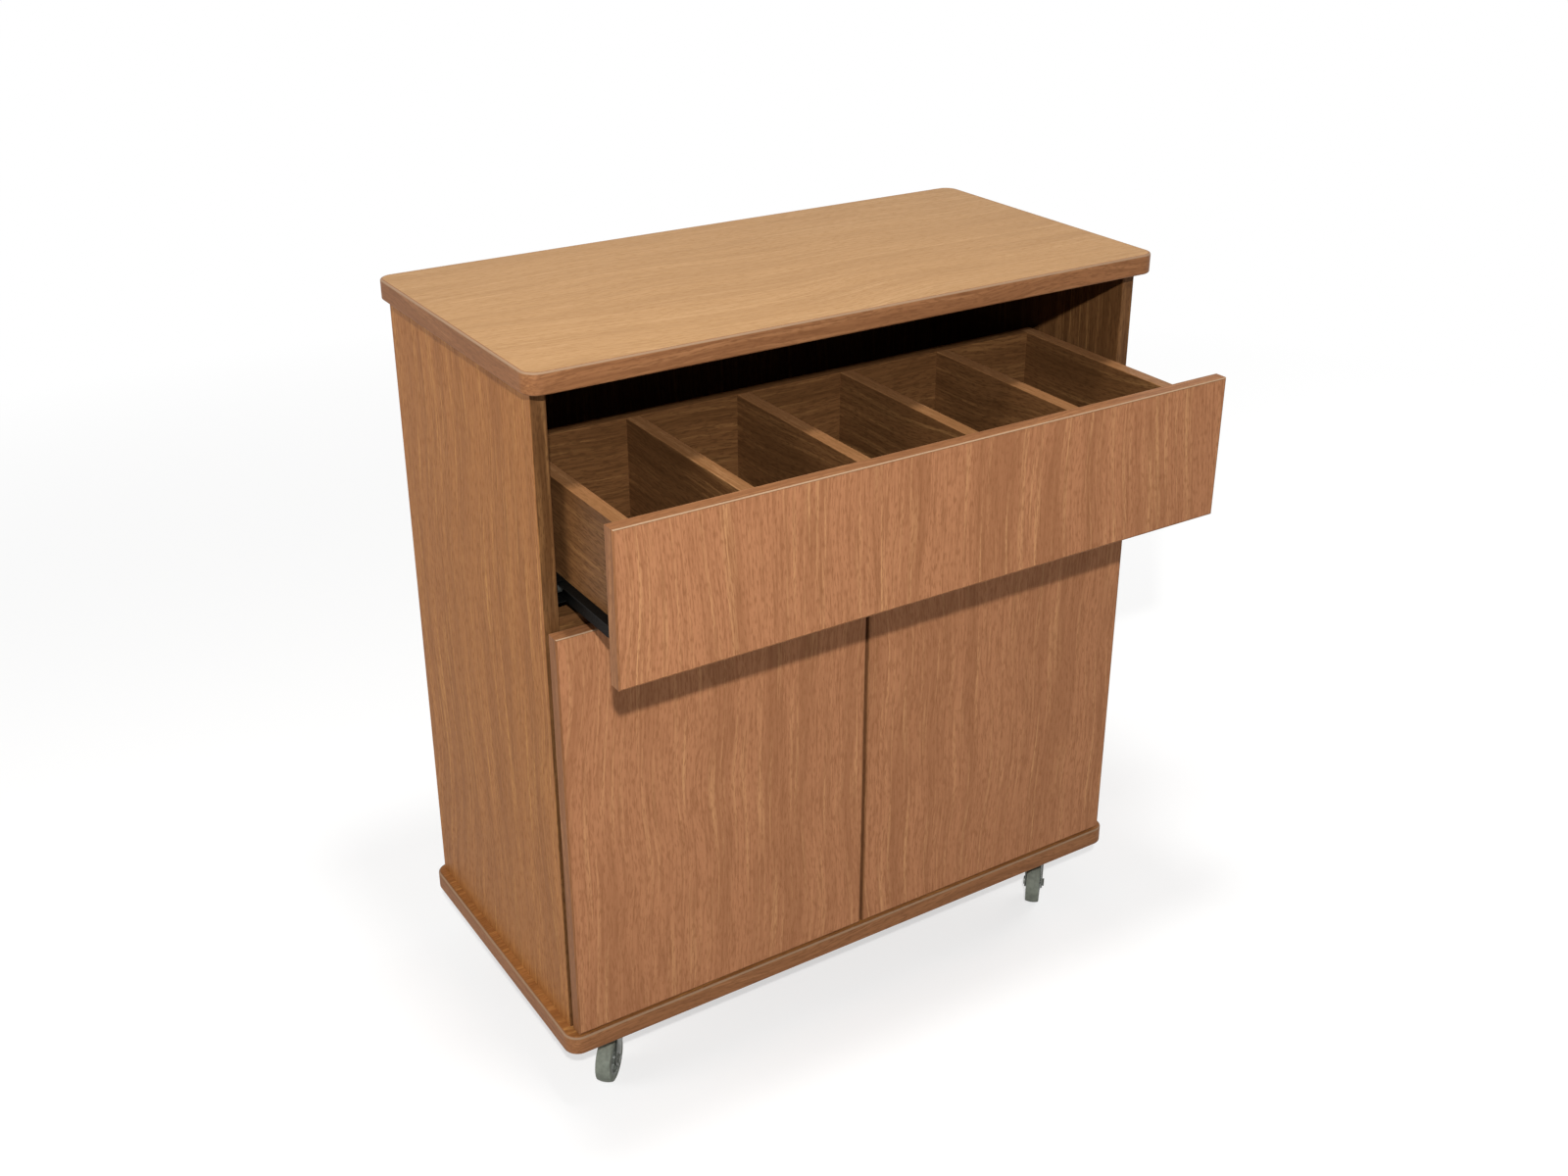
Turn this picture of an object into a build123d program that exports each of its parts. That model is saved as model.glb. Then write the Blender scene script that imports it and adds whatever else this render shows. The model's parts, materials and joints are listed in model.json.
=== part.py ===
from build123d import *
import math
import os

# Mobile waiter station: a board cabinet with one divided drawer over a two-door cupboard, on swivel casters.
# Millimetres. X runs to the right, the front faces -Y, and Z is up from the floor.
# Places below are from the middle of the top slab; the finished pieces are then shifted along Y,
# so that the origin is on the floor under the middle of the whole object, open drawer included.

# Boards, slabs and their edge bands
BOARD = 18.0
SLAB = 25.0
SLAB_CORNER = 19.0
SLAB_BAND = 3.0
SLAB_ARRIS = 2.5
FRONT_BAND = 2.0
FRONT_ARRIS = 1.5
EASED_EDGE = 1.0

# Largest share of a wall, band or plan side that a rounding may take
CORNER_SHARE = 0.45
ARRIS_SHARE = 0.9
EASED_SHARE = 0.4
HEAD_ROUNDING = 0.6

# Cabinet
TOP_WIDTH = 850.0
TOP_DEPTH = 420.0
TOP_SIDE_OVERHANG = 12.5
TOP_FRONT_OVERHANG = 24.0
TOP_BACK_OVERHANG = 8.0
BASE_SIDE_LIP = 12.5
BASE_FRONT_LIP = 3.0
BASE_BACK_LIP = 10.0
SIDE_HEIGHT = 815.0
BACK_THICKNESS = 5.0
BACK_MARGIN = 1.0
BACK_SCREW_EDGE = 9.0
BACK_SCREW_ACROSS_COUNT = 4
BACK_SCREW_UP_COUNT = 4

# Doors and drawer front, which cover the carcass's front edges
FRONT_STANDOFF = 5.0
FRONT_REVEAL = 1.5
DOOR_LIFT = 3.0
DOOR_HEIGHT = 535.0
DOOR_SPLIT = 4.5
FRONT_GAP = 8.0
DRAWER_FRONT_HEIGHT = 178.0

# Shelf in the cupboard
SHELF_LIFT = 258.0
SHELF_SETBACK = 30.0
SHELF_BACK_GAP = 2.0
SHELF_SIDE_GAP = 1.0
SHELF_PIN_RADIUS = 2.5
SHELF_PIN_IN = 8.0
SHELF_PIN_OUT = 9.0
SHELF_PIN_COLLAR = 4.5
SHELF_PIN_COLLAR_LENGTH = 0.8
SHELF_PIN_EDGE = 50.0

# Drawer box
DRAWER_OPEN = 148.0
DRAWER_RISE = 20.0
DRAWER_HEIGHT = 138.0
DRAWER_LENGTH = 310.0
DIVIDER_COUNT = 4
BOTTOM_THICKNESS = 6.0
BOTTOM_RISE = 10.0
BOTTOM_GROOVE = 7.0
BOTTOM_CLEARANCE = 0.5

# Roller runners
RUNNER_GAP = 13.0
RUNNER_STEEL = 1.2
RUNNER_LENGTH = 300.0
RUNNER_SETBACK = 2.0
RUNNER_SIDE_CLEARANCE = 0.8
RUNNER_FLANGE_CLEARANCE = 1.4
CHANNEL_RISE = 1.0
CHANNEL_HEIGHT = 26.4
DRAWER_MEMBER_FOOT = 16.0
ROLLER_RADIUS = 8.0
ROLLER_SETBACK = 14.0
ROLLER_END_GAP = 0.4
STUD_RADIUS = 2.0
STUD_HEAD_RADIUS = 3.4
STUD_HEAD = 0.8
RUNNING_CLEARANCE = 0.05

# Door hinges: a cup let into the door, a pivot pin across it, and a bent arm on the side panel
HINGE_INSET = 90.0
CUP_RADIUS = 17.5
CUP_DEPTH = 12.5
CUP_WALL = 1.0
CUP_RIM = 2.0
CUP_SETBACK = 21.5
PIN_SETBACK = 9.0
PIN_DEPTH = 7.0
PIN_RADIUS = 1.5
PIN_END = 2.5
EYE_RADIUS = 2.6
EAR_GAP = 0.5
ARM_THICKNESS = 1.6
ARM_WIDTH = 9.0
ARM_REACH = 12.0
ARM_DIP = 2.8
ARM_ELBOW = 4.0
ARM_FOLD = 12.0
HINGE_PLATE_THICKNESS = 2.0
HINGE_PLATE_START = 16.0
HINGE_PLATE_LENGTH = 42.0
HINGE_PLATE_HEIGHT = 36.0
HINGE_SCREW_SPACING = 24.0

# Casters
CASTER_HEIGHT = 85.0
CASTER_SIDE_INSET = 82.0
CASTER_END_INSET = 52.0
CASTER_TRAIL = 22.0
CASTER_HEADING = -44.5
WHEEL_RADIUS = 30.0
TYRE_WIDTH = 18.5
TYRE_SHOULDER = 28.5
HUB_RADIUS = 21.0
HUB_LENGTH = 19.2
HUB_BOSS_RADIUS = 8.0
HUB_RIM = 3.5
HUB_RECESS = 2.8
AXLE_RADIUS = 3.0
AXLE_HEAD_RADIUS = 6.0
AXLE_HEAD = 1.6
AXLE_NUT = 10.0
AXLE_NUT_HEIGHT = 2.6
FORK_GAP = 20.8
FORK_STEEL = 2.0
FORK_END_RADIUS = 9.0
FORK_SHOULDER = 15.0
CROWN_RADIUS = 20.0
CROWN_STEEL = 2.5
CROWN_SKIRT = 3.0
CROWN_SKIRT_HEIGHT = 2.8
PLATE_SIZE = 44.0
PLATE_CORNER = 4.0
PLATE_STEEL = 2.5
PLATE_HOLE_EDGE = 6.0
RACE_RADIUS = 15.0
RACE_HEIGHT = 5.0
RACE_CLEARANCE = 0.4
KING_PIN_RADIUS = 4.0
KING_PIN_HEAD_RADIUS = 7.0
KING_PIN_HEAD = 2.0

# Fasteners
DOWEL_RADIUS = 4.0
DOWEL_LENGTH = 32.0
DOWEL_IN_FACE = 10.0
DOWEL_SPARE = 0.5
DOWEL_CLEARANCE = 0.05
DOWEL_END = 40.0
SIDE_DOWEL_COUNT = 3
DRAWER_DOWEL_LOW = 40.0
DRAWER_DOWEL_HIGH = 110.0
SCREW_RADIUS = 1.8
SCREW_LENGTH = 14.0
SCREW_HEAD_RADIUS = 3.6
SCREW_HEAD = 1.6
SCREW_CROSS = 1.0
SCREW_CROSS_LENGTH = 4.0
SCREW_CROSS_DEPTH = 0.9
SCREW_CLEARANCE = 0.05
RUNNER_SCREW_END = 40.0
RUNNER_SCREW_DROP = 5.0
RUNNER_SCREW_COUNT = 3
DRAWER_RUNNER_SCREW_COUNT = 2

# Levels
BASE_BOTTOM = CASTER_HEIGHT
BASE_TOP = BASE_BOTTOM + SLAB
TOP_BOTTOM = BASE_TOP + SIDE_HEIGHT
DOOR_BOTTOM = BASE_TOP + DOOR_LIFT
DOOR_TOP = DOOR_BOTTOM + DOOR_HEIGHT
DRAWER_FRONT_BOTTOM = DOOR_TOP + FRONT_GAP
DRAWER_FRONT_TOP = DRAWER_FRONT_BOTTOM + DRAWER_FRONT_HEIGHT
DECK_MIDDLE = DOOR_TOP + FRONT_GAP / 2
DECK_BOTTOM = DECK_MIDDLE - BOARD / 2
DECK_TOP = DECK_MIDDLE + BOARD / 2
SHELF_BOTTOM = BASE_TOP + SHELF_LIFT
BOX_BOTTOM = DRAWER_FRONT_BOTTOM + DRAWER_RISE
BOX_TOP = BOX_BOTTOM + DRAWER_HEIGHT
BOTTOM_LOW = BOX_BOTTOM + BOTTOM_RISE
BOTTOM_HIGH = BOTTOM_LOW + BOTTOM_THICKNESS

# Places across
SIDE_OUTER = TOP_WIDTH / 2 - TOP_SIDE_OVERHANG
BASE_HALF = SIDE_OUTER + BASE_SIDE_LIP
SIDE_INNER = SIDE_OUTER - BOARD
FRONT_HALF = SIDE_OUTER - FRONT_REVEAL
BOX_OUTER = SIDE_INNER - RUNNER_GAP
BOX_INNER = BOX_OUTER - BOARD
DIVIDER_PITCH = (2 * BOX_INNER + BOARD) / (DIVIDER_COUNT + 1)

# Places front to back, with the drawer shut
CARCASS_BACK = TOP_DEPTH / 2 - TOP_BACK_OVERHANG
CARCASS_FRONT = TOP_FRONT_OVERHANG - TOP_DEPTH / 2
FRONT_INNER = CARCASS_FRONT - FRONT_STANDOFF
FRONT_OUTER = FRONT_INNER - BOARD
BASE_FRONT = FRONT_OUTER - BASE_FRONT_LIP
BASE_BACK = CARCASS_BACK + BASE_BACK_LIP
BOX_BACK = FRONT_INNER + DRAWER_LENGTH
BOX_BACK_INNER = BOX_BACK - BOARD
OBJECT_FRONT = FRONT_OUTER - DRAWER_OPEN
OBJECT_BACK = max(TOP_DEPTH / 2, BASE_BACK)
TO_ORIGIN = -(OBJECT_FRONT + OBJECT_BACK) / 2

# Runner section: insets are from the side panel's inner face towards the drawer
CHANNEL_REACH = RUNNER_GAP - RUNNER_STEEL - RUNNER_SIDE_CLEARANCE
CHANNEL_BOTTOM = BOX_BOTTOM + CHANNEL_RISE
CHANNEL_FLOOR = CHANNEL_BOTTOM + RUNNER_STEEL
CHANNEL_CEILING = CHANNEL_BOTTOM + CHANNEL_HEIGHT - RUNNER_STEEL
RUNNING_FLANGE_TOP = CHANNEL_CEILING - RUNNER_FLANGE_CLEARANCE
RUNNING_FLANGE_LOW = RUNNING_FLANGE_TOP - RUNNER_STEEL
MEMBER_INSET = RUNNER_GAP - RUNNER_STEEL
CABINET_ROLLER_LEVEL = RUNNING_FLANGE_LOW - RUNNING_CLEARANCE - ROLLER_RADIUS
DRAWER_ROLLER_LEVEL = CHANNEL_FLOOR + RUNNING_CLEARANCE + ROLLER_RADIUS
CHANNEL_FRONT = CARCASS_FRONT + RUNNER_SETBACK
CHANNEL_BACK = CHANNEL_FRONT + RUNNER_LENGTH
MEMBER_FRONT = FRONT_INNER + RUNNER_SETBACK
MEMBER_BACK = MEMBER_FRONT + RUNNER_LENGTH
ROLLER_INSET = RUNNER_STEEL + 2 * ROLLER_END_GAP
ROLLER_LENGTH = MEMBER_INSET - ROLLER_INSET - STUD_HEAD - 2 * ROLLER_END_GAP

SIDES = {"left": -1, "right": 1}
DOWN = (0, 0, -1)
UP = (0, 0, 1)
BACKWARD = (0, 1, 0)
FORWARD = (0, -1, 0)


def between(x0, x1, y0, y1, z0, z1):
    """A block between two opposite corners, given in any order."""
    corner = Pos(min(x0, x1), min(y0, y1), min(z0, z1))
    block = Box(abs(x1 - x0), abs(y1 - y0), abs(z1 - z0), align=(Align.MIN, Align.MIN, Align.MIN))
    return corner * block


def rod(start, direction, length, radius):
    """A round bar that begins at a point and runs along a direction."""
    bar = Cylinder(radius, length, align=(Align.CENTER, Align.CENTER, Align.MIN))
    return Plane(origin=start, z_dir=direction) * bar


def ahead(point, direction, distance):
    return tuple(p + d * distance for p, d in zip(point, direction))


def spread(first, last, count):
    """Evenly spaced values from first to last."""
    return [first + (last - first) * i / (count - 1) for i in range(count)]


# Fasteners

def screw_blank():
    """One pan-head screw: the head sits on Z = 0 and the shank points down."""
    head = Cylinder(SCREW_HEAD_RADIUS, SCREW_HEAD, align=(Align.CENTER, Align.CENTER, Align.MIN))
    head = fillet(head.edges().group_by(Axis.Z)[-1], SCREW_HEAD * HEAD_ROUNDING)
    shank = rod((0, 0, 0), DOWN, SCREW_LENGTH, SCREW_RADIUS)
    recess_middle = Pos(0, 0, SCREW_HEAD - SCREW_CROSS_DEPTH / 2)
    slot = Box(SCREW_CROSS_LENGTH, SCREW_CROSS, SCREW_CROSS_DEPTH)
    recess = recess_middle * (slot + Rot(0, 0, 90) * slot)
    return head + shank - recess


SCREW = screw_blank()


def screw(seat, outward):
    """A screw whose head rests at seat, facing outward."""
    return Plane(origin=seat, z_dir=outward) * SCREW


def screw_hole(seat, outward):
    inward = tuple(-d for d in outward)
    return rod(seat, inward, SCREW_LENGTH + DOWEL_SPARE, SCREW_RADIUS + SCREW_CLEARANCE)


def dowel(place, into_edge):
    """A dowel across a joint: place is on the joint face, into_edge points into the butting board."""
    return rod(ahead(place, into_edge, -DOWEL_IN_FACE), into_edge, DOWEL_LENGTH, DOWEL_RADIUS)


def dowel_hole(place, into_edge):
    start = ahead(place, into_edge, -DOWEL_IN_FACE - DOWEL_SPARE)
    return rod(start, into_edge, DOWEL_LENGTH + 2 * DOWEL_SPARE, DOWEL_RADIUS + DOWEL_CLEARANCE)


# Banded boards

def slab(half_width, front, back, low):
    """A slab with rounded plan corners: its core and the band glued round the edge."""
    width, depth = 2 * half_width, back - front
    corner = min(SLAB_CORNER, CORNER_SHARE * depth)
    arris = min(SLAB_ARRIS, ARRIS_SHARE * SLAB_BAND)
    outer = extrude(RectangleRounded(width, depth, corner), SLAB)
    inner_outline = RectangleRounded(width - 2 * SLAB_BAND, depth - 2 * SLAB_BAND, corner - SLAB_BAND)
    inner = extrude(inner_outline, SLAB)
    rims = outer.edges().group_by(Axis.Z)
    band = fillet(rims[0] + rims[-1], arris) - inner
    place = Pos(0, (front + back) / 2, low)
    return place * inner, place * band


def banded_front(x0, x1, z0, z1):
    """A door or drawer front in its shut place: its core and the band round its four edges."""
    arris = min(FRONT_ARRIS, ARRIS_SHARE * FRONT_BAND)
    outer = between(x0, x1, FRONT_OUTER, FRONT_INNER, z0, z1)
    faces = outer.faces().sort_by(Axis.Y)
    rims = faces[0].edges() + faces[-1].edges()
    core = between(
        x0 + FRONT_BAND, x1 - FRONT_BAND, FRONT_OUTER, FRONT_INNER, z0 + FRONT_BAND, z1 - FRONT_BAND
    )
    return core, fillet(rims, arris) - core


def eased(board, along, toward, end):
    """A plain board with the two arrises of one exposed edge rounded over.

    The edge runs along one axis and is the first (0) or the last (-1) of the board's edges toward another.
    """
    arrises = board.edges().filter_by(along).group_by(toward)[end]
    return fillet(arrises, min(EASED_EDGE, EASED_SHARE * BOARD))


# Carcass joints

def carcass_dowels():
    """Places and directions of the dowels that join the sides to the slabs and to the deck."""
    along_side = spread(CARCASS_FRONT + DOWEL_END, CARCASS_BACK - DOWEL_END, SIDE_DOWEL_COUNT)
    joints = []
    for side in SIDES.values():
        for y in along_side:
            joints.append(((side * (SIDE_INNER + BOARD / 2), y, BASE_TOP), UP))
            joints.append(((side * (SIDE_INNER + BOARD / 2), y, TOP_BOTTOM), DOWN))
            joints.append(((side * SIDE_INNER, y, DECK_MIDDLE), (-side, 0, 0)))
    return joints


def shelf_pin_places():
    front = CARCASS_FRONT + SHELF_SETBACK + SHELF_PIN_EDGE
    back = CARCASS_BACK - SHELF_BACK_GAP - SHELF_PIN_EDGE
    level = SHELF_BOTTOM - SHELF_PIN_RADIUS
    return [(side, (side * SIDE_INNER, y, level)) for side in SIDES.values() for y in (front, back)]


def shelf_pin(side, place):
    into_side = (side, 0, 0)
    inward = (-side, 0, 0)
    pin = rod(ahead(place, into_side, SHELF_PIN_IN), inward, SHELF_PIN_IN + SHELF_PIN_OUT, SHELF_PIN_RADIUS)
    collar = rod(place, inward, SHELF_PIN_COLLAR_LENGTH, SHELF_PIN_COLLAR)
    under_shelf = between(-SIDE_OUTER, SIDE_OUTER, -TOP_DEPTH, TOP_DEPTH, 0, SHELF_BOTTOM)
    return (pin + collar) & under_shelf


def shelf_pin_hole(side, place):
    return rod(place, (side, 0, 0), SHELF_PIN_IN, SHELF_PIN_RADIUS)


# Runners

def inset_x(side, inset):
    """X at a distance in from a side panel's inner face."""
    return side * (SIDE_INNER - inset)


def stud(side, from_inset, to_inset, y, level):
    """A riveted roller stud with its head at the far end."""
    reach = abs(to_inset - from_inset)
    direction = (math.copysign(1, inset_x(side, to_inset) - inset_x(side, from_inset)), 0, 0)
    root = (inset_x(side, from_inset), y, level)
    shank = rod(root, direction, reach, STUD_RADIUS)
    head = rod(ahead(root, direction, reach - STUD_HEAD), direction, STUD_HEAD, STUD_HEAD_RADIUS)
    return shank + head


def cabinet_runner_screw_places(side):
    x = inset_x(side, RUNNER_STEEL)
    level = RUNNING_FLANGE_LOW - RUNNER_SCREW_DROP
    first = CHANNEL_FRONT + RUNNER_SCREW_END
    last = CHANNEL_BACK - RUNNER_SCREW_END
    return [((x, y, level), (-side, 0, 0)) for y in spread(first, last, RUNNER_SCREW_COUNT)]


def cabinet_runner(side):
    """The channel on the side panel, with the stud of its front roller."""
    x0, x1, x2 = inset_x(side, 0), inset_x(side, RUNNER_STEEL), inset_x(side, CHANNEL_REACH)
    top = CHANNEL_BOTTOM + CHANNEL_HEIGHT
    web = between(x0, x1, CHANNEL_FRONT, CHANNEL_BACK, CHANNEL_BOTTOM, top)
    floor = between(x0, x2, CHANNEL_FRONT, CHANNEL_BACK, CHANNEL_BOTTOM, CHANNEL_FLOOR)
    ceiling = between(x0, x2, CHANNEL_FRONT, CHANNEL_BACK, CHANNEL_CEILING, top)
    stud_end = ROLLER_INSET + ROLLER_LENGTH + ROLLER_END_GAP + STUD_HEAD
    post = stud(side, RUNNER_STEEL, stud_end, CHANNEL_FRONT + ROLLER_SETBACK, CABINET_ROLLER_LEVEL)
    holes = [screw_hole(*place) for place in cabinet_runner_screw_places(side)]
    return web + floor + ceiling + post - holes


def drawer_runner_screw_places(side):
    x = side * (BOX_OUTER - BOARD / 2)
    level = BOX_BOTTOM - RUNNER_STEEL
    first = MEMBER_FRONT + RUNNER_SCREW_END
    last = MEMBER_BACK - RUNNER_SCREW_END
    return [((x, y, level), DOWN) for y in spread(first, last, DRAWER_RUNNER_SCREW_COUNT)]


def drawer_runner(side):
    """The member under the drawer side: foot, web and running flange, with the stud of its rear roller."""
    web_out, web_in = inset_x(side, MEMBER_INSET), inset_x(side, RUNNER_GAP)
    foot_low = BOX_BOTTOM - RUNNER_STEEL
    ends = (MEMBER_FRONT, MEMBER_BACK)
    web = between(web_out, web_in, *ends, foot_low, RUNNING_FLANGE_TOP)
    foot = between(web_out, inset_x(side, RUNNER_GAP + DRAWER_MEMBER_FOOT), *ends, foot_low, BOX_BOTTOM)
    flange_edge = inset_x(side, ROLLER_INSET)
    flange = between(flange_edge, web_in, *ends, RUNNING_FLANGE_LOW, RUNNING_FLANGE_TOP)
    stud_end = MEMBER_INSET - ROLLER_END_GAP - ROLLER_LENGTH - ROLLER_END_GAP - STUD_HEAD
    post = stud(side, MEMBER_INSET, stud_end, MEMBER_BACK - ROLLER_SETBACK, DRAWER_ROLLER_LEVEL)
    holes = [screw_hole(*place) for place in drawer_runner_screw_places(side)]
    return web + foot + flange + post - holes


def roller(side, from_inset, y, level):
    start = (inset_x(side, from_inset), y, level)
    inward = (-side, 0, 0)
    body = rod(start, inward, ROLLER_LENGTH, ROLLER_RADIUS)
    return body - rod(start, inward, ROLLER_LENGTH, STUD_RADIUS + RUNNING_CLEARANCE)


def cabinet_roller(side):
    return roller(side, ROLLER_INSET, CHANNEL_FRONT + ROLLER_SETBACK, CABINET_ROLLER_LEVEL)


def drawer_roller(side):
    from_inset = MEMBER_INSET - ROLLER_END_GAP - ROLLER_LENGTH
    return roller(side, from_inset, MEMBER_BACK - ROLLER_SETBACK, DRAWER_ROLLER_LEVEL)


# Hinges

def hinge_levels():
    return (DOOR_BOTTOM + HINGE_INSET, DOOR_TOP - HINGE_INSET)


def hinge_point(side, across, forward):
    """A plan point: across is in from the side panel's outer face, forward is out from its front edge."""
    return (side * (SIDE_OUTER - across), CARCASS_FRONT - forward)


PIN_ACROSS = FRONT_REVEAL + PIN_SETBACK
PIN_FORWARD = FRONT_STANDOFF + PIN_DEPTH
CUP_ACROSS = FRONT_REVEAL + CUP_SETBACK


def thick_line(points, thickness):
    """A plan strip of even thickness along a bent line, mitred at its bends."""
    path = [Vector(*p) for p in points]
    runs = [(b - a).normalized() for a, b in zip(path, path[1:])]
    normals = [Vector(-r.Y, r.X) for r in runs]
    left, right = [], []
    for i, point in enumerate(path):
        before = normals[max(i - 1, 0)]
        after = normals[min(i, len(normals) - 1)]
        mitre = (before + after).normalized()
        offset = mitre * (thickness / 2 / mitre.dot(after))
        left.append(point + offset)
        right.append(point - offset)
    outline = Polyline(*left, *reversed(right), close=True)
    return make_face(outline)


def hinge_screw_places(side, level):
    x = inset_x(side, HINGE_PLATE_THICKNESS)
    y = CARCASS_FRONT + HINGE_PLATE_START + HINGE_PLATE_LENGTH / 2
    rise = HINGE_SCREW_SPACING / 2
    return [((x, y, level + dz), (-side, 0, 0)) for dz in (-rise, rise)]


def hinge_arm(side, level):
    """The fixed half: a plate on the side panel and a bent strip that ends in an eye round the pin."""
    plate_x = inset_x(side, HINGE_PLATE_THICKNESS)
    plate_start = CARCASS_FRONT + HINGE_PLATE_START
    half = HINGE_PLATE_HEIGHT / 2
    plate = between(
        inset_x(side, 0), plate_x, plate_start, plate_start + HINGE_PLATE_LENGTH, level - half, level + half
    )
    on_plate = BOARD + HINGE_PLATE_THICKNESS + ARM_THICKNESS / 2
    reach = BOARD + ARM_REACH
    bends = [
        (PIN_ACROSS, PIN_FORWARD),
        (reach - ARM_ELBOW, PIN_FORWARD - ARM_DIP),
        (reach, FRONT_STANDOFF - ARM_THICKNESS / 2),
        (reach, -ARM_FOLD),
        (on_plate, -HINGE_PLATE_START - ARM_ELBOW),
        (on_plate, -HINGE_PLATE_START - HINGE_PLATE_LENGTH),
    ]
    strip = extrude(
        thick_line([hinge_point(side, *b) for b in bends], ARM_THICKNESS), ARM_WIDTH / 2, both=True
    )
    pin_x, pin_y = hinge_point(side, PIN_ACROSS, PIN_FORWARD)
    low = (pin_x, pin_y, level - ARM_WIDTH / 2)
    eye = rod(low, UP, ARM_WIDTH, EYE_RADIUS)
    bore = rod(low, UP, ARM_WIDTH, PIN_RADIUS + RUNNING_CLEARANCE)
    holes = [screw_hole(*place) for place in hinge_screw_places(side, level)]
    return Pos(0, 0, level) * strip + eye + plate - bore - holes


def hinge_cup_seat(side, level):
    x, _ = hinge_point(side, CUP_ACROSS, 0)
    return (x, FRONT_INNER, level)


def hinge_cup_bore(side, level):
    return rod(hinge_cup_seat(side, level), FORWARD, CUP_DEPTH, CUP_RADIUS)


def hinge_pin_length():
    return ARM_WIDTH + 2 * EAR_GAP + 2 * PIN_END


def hinge_pin(side, level):
    x, y = hinge_point(side, PIN_ACROSS, PIN_FORWARD)
    return rod((x, y, level - hinge_pin_length() / 2), UP, hinge_pin_length(), PIN_RADIUS)


def hinge_cup(side, level):
    """The cup in the door, with a rim on the door's back and two ears that hold the pin."""
    seat = hinge_cup_seat(side, level)
    mouth = ahead(seat, BACKWARD, CUP_WALL)
    shell = hinge_cup_bore(side, level) + rod(mouth, FORWARD, CUP_WALL, CUP_RADIUS + CUP_RIM)
    shell -= rod(mouth, FORWARD, CUP_DEPTH, CUP_RADIUS - CUP_WALL)
    pin_x, pin_y = hinge_point(side, PIN_ACROSS, PIN_FORWARD)
    for up in (-1, 1):
        near = level + up * (ARM_WIDTH / 2 + EAR_GAP)
        ear = between(
            pin_x - EYE_RADIUS, pin_x + EYE_RADIUS,
            pin_y + EYE_RADIUS, FRONT_INNER - CUP_DEPTH,
            near, near + up * PIN_END,
        )
        shell += ear & hinge_cup_bore(side, level)
    return shell - hinge_pin(side, level)


# Casters, about the swivel axis with the wheel trailing towards -Y

def caster_places():
    x = BASE_HALF - CASTER_SIDE_INSET
    front, rear = BASE_FRONT + CASTER_END_INSET, BASE_BACK - CASTER_END_INSET
    return {
        "front_left": (-x, front),
        "front_right": (x, front),
        "rear_left": (-x, rear),
        "rear_right": (x, rear),
    }


PLATE_LOW = CASTER_HEIGHT - PLATE_STEEL
RACE_LOW = PLATE_LOW - RACE_HEIGHT
CROWN_TOP = RACE_LOW - RACE_CLEARANCE
CROWN_LOW = CROWN_TOP - CROWN_STEEL
AXLE_LEVEL = WHEEL_RADIUS
AXLE_SPAN = FORK_GAP + 2 * FORK_STEEL


def plate_corners():
    half = PLATE_SIZE / 2 - PLATE_HOLE_EDGE
    return [(x, y) for x in (-half, half) for y in (-half, half)]


def caster_plate():
    """The plate under the base with its raceway and king pin."""
    outline = RectangleRounded(PLATE_SIZE, PLATE_SIZE, PLATE_CORNER)
    plate = Pos(0, 0, PLATE_LOW) * extrude(outline, PLATE_STEEL)
    race = rod((0, 0, RACE_LOW), UP, RACE_HEIGHT, RACE_RADIUS)
    pin_low = CROWN_LOW - RACE_CLEARANCE
    pin = rod((0, 0, pin_low), UP, PLATE_LOW - pin_low, KING_PIN_RADIUS)
    head = rod((0, 0, pin_low), DOWN, KING_PIN_HEAD, KING_PIN_HEAD_RADIUS)
    holes = [screw_hole((x, y, PLATE_LOW), DOWN) for x, y in plate_corners()]
    return plate + race + pin + head - holes


def caster_fork():
    """A pressed fork: crown and skirt round the raceway, two legs swept back to the axle."""
    crown = rod((0, 0, CROWN_LOW), UP, CROWN_STEEL + CROWN_SKIRT_HEIGHT, CROWN_RADIUS)
    crown -= rod((0, 0, CROWN_TOP), UP, CROWN_SKIRT_HEIGHT, CROWN_RADIUS - CROWN_SKIRT)
    crown -= rod((0, 0, CROWN_LOW), UP, CROWN_STEEL, KING_PIN_RADIUS + RUNNING_CLEARANCE)
    leg_end = Pos(-CASTER_TRAIL, AXLE_LEVEL) * Circle(FORK_END_RADIUS)
    shoulder = Line((-FORK_SHOULDER, CROWN_TOP), (FORK_SHOULDER, CROWN_TOP))
    leg_face = make_hull(leg_end.edges() + shoulder.edges())
    leg = extrude(Plane.YZ * leg_face, FORK_STEEL)
    legs = Pos(FORK_GAP / 2, 0, 0) * leg + Pos(-FORK_GAP / 2 - FORK_STEEL, 0, 0) * leg
    hole_start = (-AXLE_SPAN / 2, -CASTER_TRAIL, AXLE_LEVEL)
    axle_hole = rod(hole_start, (1, 0, 0), AXLE_SPAN, AXLE_RADIUS + RUNNING_CLEARANCE)
    return crown + legs - axle_hole


def caster_axle():
    """A bolt through both legs with a round head and a hexagon nut."""
    start = (-AXLE_SPAN / 2, -CASTER_TRAIL, AXLE_LEVEL)
    end = (AXLE_SPAN / 2, -CASTER_TRAIL, AXLE_LEVEL)
    shank = rod(start, (1, 0, 0), AXLE_SPAN, AXLE_RADIUS)
    head = rod(start, (-1, 0, 0), AXLE_HEAD, AXLE_HEAD_RADIUS)
    head = fillet(head.edges().group_by(Axis.X)[0], AXLE_HEAD * HEAD_ROUNDING)
    nut = extrude(RegularPolygon(AXLE_NUT / 2, 6, major_radius=False), AXLE_NUT_HEIGHT)
    return shank + head + Plane(origin=end, z_dir=(1, 0, 0)) * nut


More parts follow.
